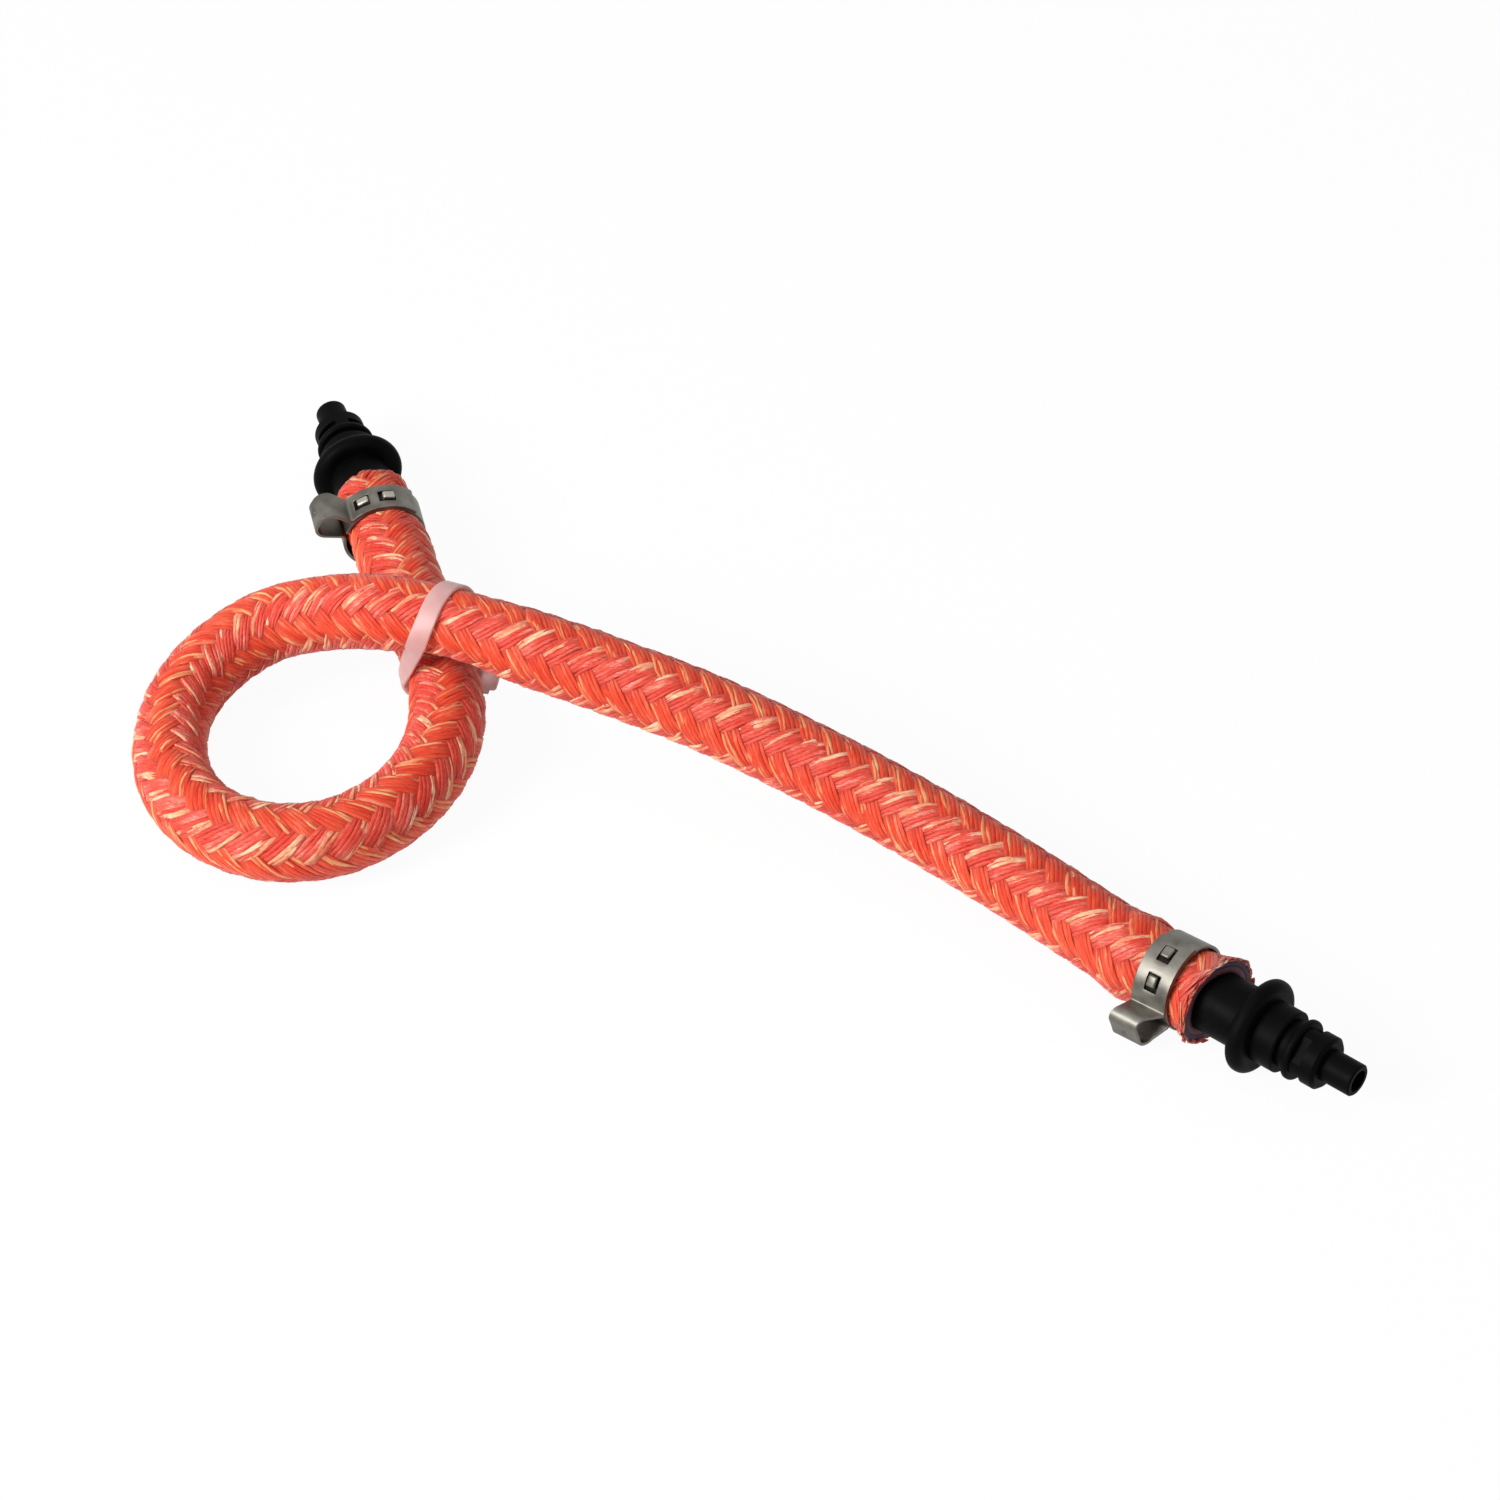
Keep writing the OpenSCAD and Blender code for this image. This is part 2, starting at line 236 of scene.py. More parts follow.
def centreline(steps):
    # a smooth curve through the points, with this many steps between each two
    line = []
    for i in range(len(route) - 1):
        p, q = route[i], route[i + 1]
        a, b = heading(i) * chord(i), heading(i + 1) * chord(i)
        for k in range(steps):
            t = k / steps
            line.append(p + a * t + (3 * (q - p) - 2 * a - b) * t ** 2 + (2 * (p - q) + a + b) * t ** 3)
    line.append(route[-1].copy())
    return line


def tangent(line, i):
    return (line[min(i + 1, len(line) - 1)] - line[max(i - 1, 0)]).normalized()


def spacedLine(line, step):
    # the same line with points an equal distance apart
    lengths = [0.0]
    for a, b in zip(line, line[1:]):
        lengths.append(lengths[-1] + (b - a).length)
    count = round(lengths[-1] / step)
    made, place = [], 0
    for k in range(count + 1):
        want = lengths[-1] * k / count
        while place < len(line) - 2 and lengths[place + 1] < want:
            place += 1
        share = (want - lengths[place]) / (lengths[place + 1] - lengths[place])
        made.append(line[place].lerp(line[place + 1], min(1, share)))
    return made, lengths[-1]


hose = {
    "bore": 11.0,
    "linerOut": 12.2,
    "plyOut": 12.75,
    "baseOut": 12.95,  # under the yarns
    "nearFlare": 1.75,  # growth of the radius at the cut ends
    "farFlare": 0.6,
    "flareReach": 5.0,
    "flarePower": 1.5,
    "clampIn": (9.6, 9.5),  # from the far and the near cut to the middle of each clamp
    "clampBulge": (0.45, 0.85),  # swell at the far and the near clamp
    "besideClamp": ((7.5, 1.0, 3.2), (-5.2, 0.4, 1.4)),  # inwards, share of the bulge, reach
    "clampBite": (0.12, 2.6),  # how deep, and reach
    "tieBite": (0.7, 6.5),
    "pinch": (8.5, 0.5, 5.0),  # the upper strand stays drawn in past the tie: place, depth and reach
    "loopSlim": (0.42, 0.35, 28.0),  # the tightest turn draws in too: share of the length, depth, reach
    "cutWave": 0.3,  # unevenness of the cut
    "cutWaves": ((2.0, 1.0, 1.0), (3.0, 2.2, 0.6)),  # waves round the cut, phase, share
    "cutBack": 0.6,  # the near end is cut this much short, and on the slant
    "cutSlant": 1.3,
    "linerShare": 0.45,  # how far the inner layers follow the outside
    "plyShare": 0.8,
    "sides": 48,
    "curveSteps": 24,
    "step": 1.4,
}

hoseLine, hoseLength = spacedLine(centreline(hose["curveSteps"]), hose["step"])
print("hose route of", round(hoseLength, 1), "mm")

tie = {
    "width": 3.7,
    "thickness": 0.72,
    "edgeSoft": 0.28,
    "radius": 6.35,  # inside, sunk into the braid
    "sideEase": 0.7,  # how much wider the strap stands at the flanks than on top
    "alongHigh": 2.0,  # distances from the crossing
    "alongLow": 2.6,
    "turn": 5.0,
    "swingShare": 0.16,  # how the arcs swing towards each other
    "swingReach": 50.0,
    "head": (4.2, 5.4, 4.6),
    "headSoft": 0.7,
    "headGap": 0.1,
    "headAngle": 16.0,
    "stub": (1.1, 1.6),  # thickness and length of what is left of the tail
    "stubRise": 0.62,  # share of the head's height
    "stubOut": 0.5,
    "stubSoft": 0.2,
    "arcSteps": 24,
    "sideSteps": 8,
    "sharpFrom": 50.0,
}


def crossingPlaces():
    # where the two lengths of hose come closest, at least six route points apart
    steps = 8
    fine, best = centreline(steps), None
    for i in range(len(fine)):
        for j in range(i + 6 * steps, len(fine)):
            gap = (fine[i] - fine[j]).length
            if best is None or gap < best[0]:
                best = (gap, i, j)
    return fine, best[1], best[2]


fineLine, lowPlace, highPlace = crossingPlaces()
lowWay, highWay = tangent(fineLine, lowPlace), tangent(fineLine, highPlace)
low = fineLine[lowPlace] - lowWay * tie["alongLow"]
high = fineLine[highPlace] + highWay * tie["alongHigh"]
lowSquare = math.atan2(lowWay.y, lowWay.x) - math.pi / 2
highSquare = math.atan2(highWay.y, highWay.x) - math.pi / 2
highSide = highSquare - math.radians(tie["turn"])


def bump(x, centre, width):
    return math.exp(-((x - centre) / width) ** 2)


def placeNear(point):
    nearest = min(range(len(hoseLine)), key=lambda i: (hoseLine[i] - point).length)
    return nearest * hoseLength / (len(hoseLine) - 1)


clampPlaces = (hose["clampIn"][0], hoseLength - hose["clampIn"][1])
tiePlaces = (placeNear(low), placeNear(high))


def cutShares(place):
    # 1 at the near and the far cut, and 0 from the reach of the flare on
    return (max(0.0, 1 - (hoseLength - place) / hose["flareReach"]),
            max(0.0, 1 - place / hose["flareReach"]))


def swellAt(place):
    # growth of the hose radius: wide at the cuts and beside the clamps, drawn in under clamp and tie
    near, far = cutShares(place)
    swell = hose["nearFlare"] * near ** hose["flarePower"] + hose["farFlare"] * far ** hose["flarePower"]
    for clampPlace, inwards, bulge in zip(clampPlaces, (1, -1), hose["clampBulge"]):
        for offset, share, reach in hose["besideClamp"]:
            swell += bulge * share * bump(place, clampPlace + inwards * offset, reach)
        depth, reach = hose["clampBite"]
        swell -= depth * bump(place, clampPlace, reach)
    depth, reach = hose["tieBite"]
    for tiePlace in tiePlaces:
        swell -= depth * bump(place, tiePlace, reach)
    past, depth, reach = hose["pinch"]
    swell -= depth * bump(place, tiePlaces[1] + past, reach)
    share, depth, reach = hose["loopSlim"]
    return swell - depth * bump(place, hoseLength * share, reach)


def cutShift(angle, place):
    near, far = cutShares(place)
    wave = hose["cutWave"] * sum(
        share * math.sin(count * angle + phase) for count, phase, share in hose["cutWaves"])
    slant = -hose["cutBack"] - hose["cutSlant"] * math.cos(angle)
    return wave * (near + far) + slant * near


def hoseTube(name, outside, bore, outsideShare, boreShare):
    points, faces = [], []
    sides, count = hose["sides"], len(hoseLine)
    for diameter, share in ((outside, outsideShare), (bore, boreShare)):
        for i, centre in enumerate(hoseLine):
            along = tangent(hoseLine, i)
            side = Vector((along.y, -along.x, 0)).normalized()
            up = side.cross(along)
            radius = diameter / 2 + swells[i] * share
            for k in range(sides):
                angle = 2 * math.pi * k / sides
                shift = cutShift(angle, hoseLength * i / (count - 1))
                points.append((centre + along * shift
                               + radius * (math.cos(angle) * side + math.sin(angle) * up)) * mm)
    inner = count * sides
    last = (count - 1) * sides
    for k in range(sides):
        n = (k + 1) % sides
        for i in range(count - 1):
            p, q = i * sides + k, i * sides + n
            faces.append((p, p + sides, q + sides, q))
            faces.append((inner + p, inner + q, inner + q + sides, inner + p + sides))
        faces.append((k, n, inner + n, inner + k))
        faces.append((last + n, last + k, inner + last + k, inner + last + n))
    tube = meshObject(name, points, faces)
    fixNormals(tube)
    return tube


swells = [swellAt(hoseLength * i / (len(hoseLine) - 1)) for i in range(len(hoseLine))]
hoseLiner = hoseTube("hoseLiner", hose["linerOut"], hose["bore"], hose["linerShare"], 0)
hosePly = hoseTube("hosePly", hose["plyOut"], hose["linerOut"], hose["plyShare"], hose["linerShare"])
braidBase = hoseTube("braidBase", hose["baseOut"], hose["plyOut"], 1, hose["plyShare"])
print("hose tubes made")

braid = {
    "bundles": 8,  # carriers each way
    "lead": 38.4,  # mm of hose for one turn of a bundle
    "yarns": 5,  # ends in a bundle
    "tracers": 2,  # undyed ends that lie over them along one edge
    "startTurn": 45.0,
    "bundleWidth": 3.6,
    "middleRadius": 6.62,
    "waveHeight": 0.25,
    "waveSlope": 1.35,  # above 1 a yarn lies flat for longer on top and below
    "crown": 0.14,  # how much lower a bundle lies at its edges
    "thickness": 0.42,
    "steps": 360,
    "sides": 6,
    "endSpread": 0.5,  # how unevenly the ends are cut
    "evenSpread": 0.97,  # share of its width that a bundle fills where nothing moves it
    "plumpShare": 1.6,  # how much more a yarn's width varies than its bundle's
    # change for each metre of hose, change from one yarn or bundle to the next, and its own seed
    "drift": (260.0, 7.31, 0.0),
    "spread": (210.0, 5.3, 40.0),
    "plump": (330.0, 3.9, 80.0),
    "rise": (240.0, 6.1, 120.0),
    # width is a share of an even yarn's; jitter, sideways, and sink, up and down, are in mm
    "red": {"width": 1.3, "jitter": 0.5, "unevenness": 0.5, "sink": 0.22},
    "tracer": {"width": 1.15, "jitter": 1.5, "unevenness": 1.1, "sink": 0.9},
    "thinTracer": {"width": 0.9, "jitter": 1.5, "unevenness": 1.1, "sink": 0.95},
}

# what the yarn tree is given; the sizes are in mm here and in metres in the tree
yarnSizes = ("lead", "bundleWidth", "yarnWidth", "thickness", "middleRadius", "waveHeight", "crown",
             "jitter", "sink", "endSpread", "cutWave", "cutBack", "cutSlant")
yarnInputs = {
    "Geometry": ("Geometry",),
    "Int": ("firstYarn", "yarnCount", "bundles", "steps", "sides"),
    "Float": ("way", "inBundle", "startTurn", "unevenness", "seed", *yarnSizes),
    "Material": ("finish",),
}


def yarnTree():
    # one tube for each yarn, wound round the path and passing over two and under two
    tree = bpy.data.node_groups.new("yarnsRoundHose", "GeometryNodeTree")
    tree.is_modifier = True
    add = partial(addNode, tree)
    for kind, names in yarnInputs.items():
        for name in names:
            tree.interface.new_socket(name, in_out="INPUT", socket_type="NodeSocket" + kind)
    tree.interface.new_socket("Geometry", in_out="OUTPUT", socket_type="NodeSocketGeometry")
    given = add("NodeGroupInput").outputs

    path = add("GeometryNodeMeshToCurve", inputs={"Mesh": given["Geometry"]})
    length = add("GeometryNodeCurveLength", inputs=[path])

    # one upright tube on each yarn's point; its own x, y and z are across, out and along
    tube = add("GeometryNodeMeshCylinder", {"fill_type": "NGON"}, {
        "Vertices": given["sides"], "Side Segments": given["steps"], "Radius": 1.0, "Depth": 1.0})
    count = add(maths, "MULTIPLY", [given["bundles"], given["yarnCount"]])
    spots = add("GeometryNodeMeshLine", inputs={"Count": count, "Offset": (0, 0, 0)})
    index = add("GeometryNodeInputIndex")
    marked = add("GeometryNodeStoreNamedAttribute", {"data_type": "FLOAT", "domain": "POINT"}, {
        "Geometry": spots, "Name": "yarnIndex", "Value": index})
    placed = add("GeometryNodeInstanceOnPoints", inputs={"Points": marked, "Instance": tube.outputs["Mesh"]})
    real = add("GeometryNodeRealizeInstances", inputs={"Geometry": placed})

    own = add("ShaderNodeSeparateXYZ", inputs=[add("GeometryNodeInputPosition")])
    number = add("GeometryNodeInputNamedAttribute", {"data_type": "FLOAT"}, {"Name": "yarnIndex"})
    share = add(maths, "ADD", [own.outputs[2], 0.5])
    place = add(maths, "MULTIPLY", [share, length])
    filled = add(maths, "DIVIDE", [add(maths, "ADD", [number, 0.5]), given["yarnCount"]])
    bundle = add(maths, "FLOOR", [filled])
    before = add(maths, "MULTIPLY", [bundle, given["yarnCount"]])
    yarn = add(maths, "ADD", [add(maths, "SUBTRACT", [number, before]), given["firstYarn"]])

    def uneven(noiseName, key, size):
        # smooth chance between plus and minus half the size, along the hose and from key to key
        alongScale, keyScale, seed = braid[noiseName]
        seedPlace = add("ShaderNodeCombineXYZ", inputs=[
            add(maths, "MULTIPLY", [place, alongScale]), add(maths, "MULTIPLY", [key, keyScale]),
            add(maths, "ADD", [given["seed"], seed])])
        chance = add("ShaderNodeTexNoise", {"noise_dimensions": "3D"}, {
            "Vector": seedPlace, "Scale": 1.0, "Detail": 1.0})
        return add(maths, "MULTIPLY", [add(maths, "SUBTRACT", [chance, 0.5]), size])

    # sideways place in the bundle, in metres square to the yarn; bundles spread and close up as they go
    half = add(maths, "MULTIPLY", [given["inBundle"], 0.5])
    fromMiddle = add(maths, "SUBTRACT", [add(maths, "ADD", [yarn, 0.5]), half])
    middle = add(maths, "DIVIDE", [fromMiddle, given["inBundle"]])
    drift = uneven("drift", number, given["jitter"])
    spread = add(maths, "ADD", [braid["evenSpread"], uneven("spread", bundle, given["unevenness"])])
    plumpSize = add(maths, "MULTIPLY", [given["unevenness"], braid["plumpShare"]])
    plump = add(maths, "ADD", [1.0, uneven("plump", number, plumpSize)])
    bundleWidth = add(maths, "MULTIPLY", [given["bundleWidth"], spread])
    yarnHalf = add(maths, "MULTIPLY", [plump, add(maths, "MULTIPLY", [given["yarnWidth"], 0.5])])
    inBundle = add(maths, "ADD", [add(maths, "MULTIPLY", [middle, bundleWidth]), drift])
    across = add(maths, "ADD", [inBundle, add(maths, "MULTIPLY", [own.outputs[0], yarnHalf])])
    around = add(maths, "MULTIPLY", [given["middleRadius"], 2 * math.pi])
    steepness = add(maths, "ARCTANGENT", [add(maths, "DIVIDE", [around, given["lead"]])])
    square = add(maths, "DIVIDE", [across, add(maths, "COSINE", [steepness])])
    offset = add(maths, "DIVIDE", [add(maths, "MULTIPLY", [square, given["bundles"]]), around])
    ownBundle = add(maths, "ADD", [bundle, offset])
    turns = add(maths, "MULTIPLY", [add(maths, "DIVIDE", [place, given["lead"]]), given["way"]])
    wound = add(maths, "ADD", [add(maths, "DIVIDE", [ownBundle, given["bundles"]]), turns])
    angle = add(maths, "ADD", [add(maths, "MULTIPLY", [wound, 2 * math.pi]), given["startTurn"]])

    # over two and under two of the bundles that come the other way
    met = add(maths, "MULTIPLY", [add(maths, "MULTIPLY", [turns, given["bundles"]]), 2.0])
    both = add(maths, "ADD", [add(maths, "ADD", [ownBundle, met]), bundle])
    phase = add(maths, "MULTIPLY", [add(maths, "ADD", [both, 0.5]), math.pi / 2])
    steep = add(maths, "MULTIPLY", [add(maths, "SINE", [phase]), braid["waveSlope"]])
    wave = add("ShaderNodeClamp", inputs=[add(maths, "MULTIPLY", [steep, given["way"]]), -1.0, 1.0])
    lift = add(maths, "MULTIPLY", [wave, given["waveHeight"]])
    outer = add(maths, "MULTIPLY", [add(maths, "ABSOLUTE", [middle]), 2.0])
    dip = add(maths, "MULTIPLY", [add(maths, "POWER", [outer, 2.0]), given["crown"]])
    roughLift = add(maths, "SUBTRACT", [uneven("rise", number, given["sink"]), dip])
    swell = add("GeometryNodeInputNamedAttribute", {"data_type": "FLOAT"}, {"Name": "swell"})
    onPath = add("GeometryNodeSampleCurve", {"mode": "LENGTH", "use_all_curves": True}, {
        "Curves": path, "Length": place, "Value": swell})
    yarnDepth = add(maths, "MULTIPLY", [given["thickness"], 0.5])
    fullness = add(maths, "MULTIPLY", [own.outputs[1], yarnDepth])
    lifted = add(maths, "ADD", [add(maths, "ADD", [given["middleRadius"], lift]), roughLift])
    radius = add(maths, "ADD", [lifted, add(maths, "ADD", [onPath.outputs["Value"], fullness])])

    def towardsCut(distance):
        # 1 at the cut, and 0 from the reach of the flare on
        short = add(maths, "DIVIDE", [distance, hose["flareReach"] * mm])
        return add(maths, "MAXIMUM", [add(maths, "SUBTRACT", [1.0, short]), 0.0])

    # the cut follows the wave of the rubber, and each yarn stands a little proud or short of it
    fromNear = add(maths, "SUBTRACT", [length, place])
    eitherCut = towardsCut(add(maths, "MINIMUM", [place, fromNear]))
    ripples = []
    for waves, start, size in hose["cutWaves"]:
        ripple = add(maths, "ADD", [add(maths, "MULTIPLY", [angle, waves]), start])
        ripples.append(add(maths, "MULTIPLY", [add(maths, "SINE", [ripple]), size]))
    cut = add(maths, "MULTIPLY", [add(maths, "ADD", ripples), given["cutWave"]])
    chance = add("FunctionNodeRandomValue", {"data_type": "FLOAT"}, {
        "Min": -1.0, "Max": 1.0, "ID": add(maths, "ROUND", [number])})
    proud = add(maths, "MULTIPLY", [chance.outputs[1], given["endSpread"]])
    waved = add(maths, "MULTIPLY", [add(maths, "ADD", [cut, proud]), eitherCut])
    slant = add(maths, "MULTIPLY", [add(maths, "COSINE", [angle]), given["cutSlant"]])
    short = add(maths, "MULTIPLY", [add(maths, "ADD", [given["cutBack"], slant]), towardsCut(fromNear)])
    endShift = add(maths, "SUBTRACT", [waved, short])

    along = onPath.outputs["Tangent"]
    side = add(vectors, "NORMALIZE", [add(vectors, "CROSS_PRODUCT", [along, (0, 0, 1)])])
    up = add(vectors, "CROSS_PRODUCT", [side, along])
    outward = add(vectors, "ADD", [
        add(vectors, "SCALE", {0: side, 3: add(maths, "COSINE", [angle])}),
        add(vectors, "SCALE", {0: up, 3: add(maths, "SINE", [angle])})])
    onSkin = add(vectors, "ADD", [
        onPath.outputs["Position"], add(vectors, "SCALE", {0: outward, 3: radius})])
    where = add(vectors, "ADD", [onSkin, add(vectors, "SCALE", {0: along, 3: endShift})])

    # what the finish needs: place along the hose, place across the yarn, and the yarn's number
    forFinish = add("ShaderNodeCombineXYZ", inputs=[place, own.outputs[0], number])
    noted = add("GeometryNodeStoreNamedAttribute", {"data_type": "FLOAT_VECTOR", "domain": "POINT"}, {
        "Geometry": real, "Name": "yarnPlace", "Value": forFinish})
    noted = add("GeometryNodeStoreNamedAttribute", {"data_type": "FLOAT", "domain": "POINT"}, {
        "Geometry": noted, "Name": "yarnRise", "Value": wave})
    moved = add("GeometryNodeSetPosition", inputs={"Geometry": noted, "Position": where})
    smooth = add("GeometryNodeSetShadeSmooth", inputs={0: moved, "Shade Smooth": True})
    joined = add("GeometryNodeRealizeInstances", inputs={"Geometry": smooth})
    painted = add("GeometryNodeSetMaterial", inputs={"Geometry": joined, "Material": given["finish"]})
    add("NodeGroupOutput", inputs=[painted])
    return tree


def makeYarns(name, way, firstYarn, yarnCount, kind, finish, seed):
    edges = [(i, i + 1) for i in range(len(hoseLine) - 1)]
    mesh = bpy.data.meshes.new(name + "Path")
    mesh.from_pydata([tuple(p * mm) for p in hoseLine], edges, [])
    mesh.attributes.new("swell", "FLOAT", "POINT").data.foreach_set("value", [w * mm for w in swells])
    carrier = bpy.data.objects.new(name + "Path", mesh)
    bpy.context.collection.objects.link(carrier)
    modifier = carrier.modifiers.new("yarns", "NODES")
    modifier.node_group = yarns
    values = {
        **hose, **braid, **kind, "way": float(way), "firstYarn": firstYarn, "yarnCount": yarnCount,
        "yarnWidth": braid["bundleWidth"] / braid["yarns"] * kind["width"], "inBundle": float(braid["yarns"]),
        "startTurn": math.radians(braid["startTurn"]), "seed": float(seed), "finish": finish}
    values.update({size: values[size] * mm for size in yarnSizes})
    for item in yarns.interface.items_tree:
        if item.in_out == "INPUT" and item.name in values:
            modifier[item.identifier] = values[item.name]
    made = finishedMesh(carrier)
    made.name = name
    bpy.data.objects.remove(carrier)
    piece = bpy.data.objects.new(name, made)
    bpy.context.collection.objects.link(piece)
    print(name, len(made.polygons), "faces")
    return piece


yarnFinish = {
    "twist": 900.0,  # how fast a fibre crosses the yarn, for each metre along it
    "fibres": (1000.0, 2.2),  # streaks about 1 mm long, coarser than real fibres so that they show
    "fibreNoise": {"Scale": 1.0, "Detail": 4.0, "Roughness": 0.75},
    "patchNoise": {"Scale": 1.0, "Detail": 2.0},
    "patchStep": 3.7,  # how differently the next yarn is blotched
    "grooveShade": (0.6, 1.0, 0.0, 0.3),  # from and to across the yarn, shade there
    "diveShade": (0.8, -0.2, 0.0, 0.45),  # from and to in the wave, shade there
    "bleachAlong": (4.5, 0.5),  # mm from the near cut
    "bleachUp": (0.0, 0.75, 0.66),
    "bleachRise": (0.001, 0.006, 0.15, 0.85),  # height over the axis in metres, share there
    "roughness": 0.55,
    "surface": {"IOR": 1.5, "Specular IOR Level": 0.3, "Sheen Weight": 0.15, "Sheen Roughness": 0.4,
                "Subsurface Weight": 0.25, "Subsurface Radius": (0.0012, 0.0005, 0.0003),
                "Subsurface Scale": 1.0},
    "relief": (0.6, 0.1),
    # patches is how many change in a metre; paintedShade is the colour painted as shade in the grooves and
    # where a yarn dives, frayed the near cut end
    # the right lay's pinker colours are painted sheen over the same red dye; the left lay keeps the plain
    # dyed red
    "pinkYarn": {
        "stops": ((0.32, "#a81a0d"), (0.43, "#d03320"), (0.54, "#de5341"), (0.66, "#f29c8c")),
        "paintedShade": "#921d0f", "frayed": "#b06560", "patches": 190.0},
    "redYarn": {
        "stops": ((0.32, "#ac1b07"), (0.43, "#d43416"), (0.55, "#e24e2e"), (0.68, "#f28e6e")),
        "paintedShade": "#921d0f", "frayed": "#b06560", "patches": 190.0},
    "paleTracer": {
        "stops": ((0.34, "#d24c31"), (0.44, "#e5835c"), (0.54, "#efb18a"), (0.66, "#f8d8ba")),
        "paintedShade": "#b83f26", "frayed": "#dab4a4", "patches": 260.0},
    "warmTracer": {
        "stops": ((0.34, "#d24c2d"), (0.45, "#e07449"), (0.56, "#ea9f6c"), (0.7, "#f3c99c")),
        "paintedShade": "#b03820", "frayed": "#dab4a4", "patches": 260.0},
}


# Solution-dyed polyester yarn, twisted and braided: soft sheen on its crowns, painted shade in its grooves
# and where it dives
def yarnMaterial(name, own):
    material, tree = newMaterial(name)
    add = partial(addNode, tree)
    place = add("ShaderNodeAttribute", {"attribute_name": "yarnPlace"})
    rise = add("ShaderNodeAttribute", {"attribute_name": "yarnRise"})
    along, across, number = add("ShaderNodeSeparateXYZ", inputs=[place.outputs["Vector"]]).outputs
    # fibres run nearly along the yarn, with the slight slant of its twist
    slanted = add(maths, "MULTIPLY_ADD", [along, yarnFinish["twist"], across])
    stretched = add("ShaderNodeCombineXYZ", inputs=[
        add(maths, "MULTIPLY", [along, yarnFinish["fibres"][0]]),
        add(maths, "MULTIPLY", [slanted, yarnFinish["fibres"][1]]), number])
    fibres = add("ShaderNodeTexNoise", inputs={"Vector": stretched, **yarnFinish["fibreNoise"]})
    patchPlace = add("ShaderNodeCombineXYZ", inputs=[
        add(maths, "MULTIPLY", [along, own["patches"]]),
        add(maths, "MULTIPLY", [number, yarnFinish["patchStep"]]), 0.0])
    patches = add("ShaderNodeTexNoise", inputs={"Vector": patchPlace, **yarnFinish["patchNoise"]})
    mixed = add(maths, "MULTIPLY_ADD", [fibres, 0.5, add(maths, "MULTIPLY", [patches, 0.5])])
    colour = add("ShaderNodeValToRGB", {"stops": own["stops"]}, [mixed])
    # shade in the grooves beside each yarn and where it goes under the others
    sideways = add(maths, "ABSOLUTE", [across])
    groove = add("ShaderNodeMapRange", inputs=[sideways, *yarnFinish["grooveShade"]])
    dive = add("ShaderNodeMapRange", inputs=[rise.outputs["Fac"], *yarnFinish["diveShade"]])
    shade = add(maths, "MAXIMUM", [groove, dive])
    # the painted shade colour is mixed in over the yarn's own colour
    colour = add("ShaderNodeMix", {"data_type": "RGBA"}, {0: shade, 6: colour, 7: linear(own["paintedShade"])})
    # the last millimetres at the near cut end are bleached and fluffed on their upper side
    where = add("ShaderNodeTexCoord").outputs["Object"]
    fromAxis = add(vectors, "SUBTRACT", [where, tuple(route[-1] * mm)])
    upper = add(vectors, "DOT_PRODUCT", [fromAxis, yarnFinish["bleachUp"]])
    upper = add("ShaderNodeMapRange", inputs=[upper.outputs["Value"], *yarnFinish["bleachRise"]])
    begins, ends = ((hoseLength - distance) * mm for distance in yarnFinish["bleachAlong"])
    cut = add("ShaderNodeMapRange", inputs=[along, begins, ends, 0.0, 1.0])
    bleach = add(maths, "MULTIPLY", [cut, upper])
    colour = add("ShaderNodeMix", {"data_type": "RGBA"}, {
        0: bleach, 6: colour.outputs[2], 7: linear(own["frayed"])})
    surface = add("ShaderNodeBsdfPrincipled", inputs={
        "Base Color": colour.outputs[2], "Roughness": yarnFinish["roughness"], **yarnFinish["surface"]})
    finishMaterial(tree, surface, fibres, *yarnFinish["relief"])
    return material


yarns = yarnTree()
# the right lay's pinker finish is painted sheen
pinkYarn = yarnMaterial("dyedYarnRightLayPaintedSheen", yarnFinish["pinkYarn"])
redYarn = yarnMaterial("dyedYarnLeftLay", yarnFinish["redYarn"])
paleTracer = yarnMaterial("undyedTracerRightLay", yarnFinish["paleTracer"])
warmTracer = yarnMaterial("undyedTracerLeftLay", yarnFinish["warmTracer"])
braidPieces = [
    # name, way round, first yarn, how many, kind, finish, seed
    makeYarns("braidYarnsRight", 1, 0, braid["yarns"], braid["red"], pinkYarn, 3),
    makeYarns("braidYarnsLeft", -1, 0, braid["yarns"], braid["red"], redYarn, 11),
    makeYarns("tracerYarnsRight", 1, braid["yarns"] - braid["tracers"], braid["tracers"],
              braid["tracer"], paleTracer, 5),
    makeYarns("tracerYarnsLeft", -1, 0, braid["tracers"], braid["thinTracer"], warmTracer, 17),
]
print("braid wound")

# Extruded EPDM rubber: matt, faintly grained, tinted by its mix; the grain is about 0.4 mm
rubberFinish = {
    "cloud": {"Scale": 2600.0, "Detail": 3.0},
    "roughness": (0.72, 0.72),
    "surface": {"IOR": 1.52},
    "relief": (0.25, 0.1),
}
for tube, name, dark, light in (
        (hoseLiner, "extrudedEpdmLiner", "#431b26", "#5c2835"),
        (hosePly, "calenderedRubberPly", "#2a1a33", "#43304f"),
        (braidBase, "redYarnUnderlay", "#a82c1e", "#c43c29")):
    tube.data.materials.append(grainedMaterial(name, rubberFinish, ((0.3, dark), (0.7, light))))

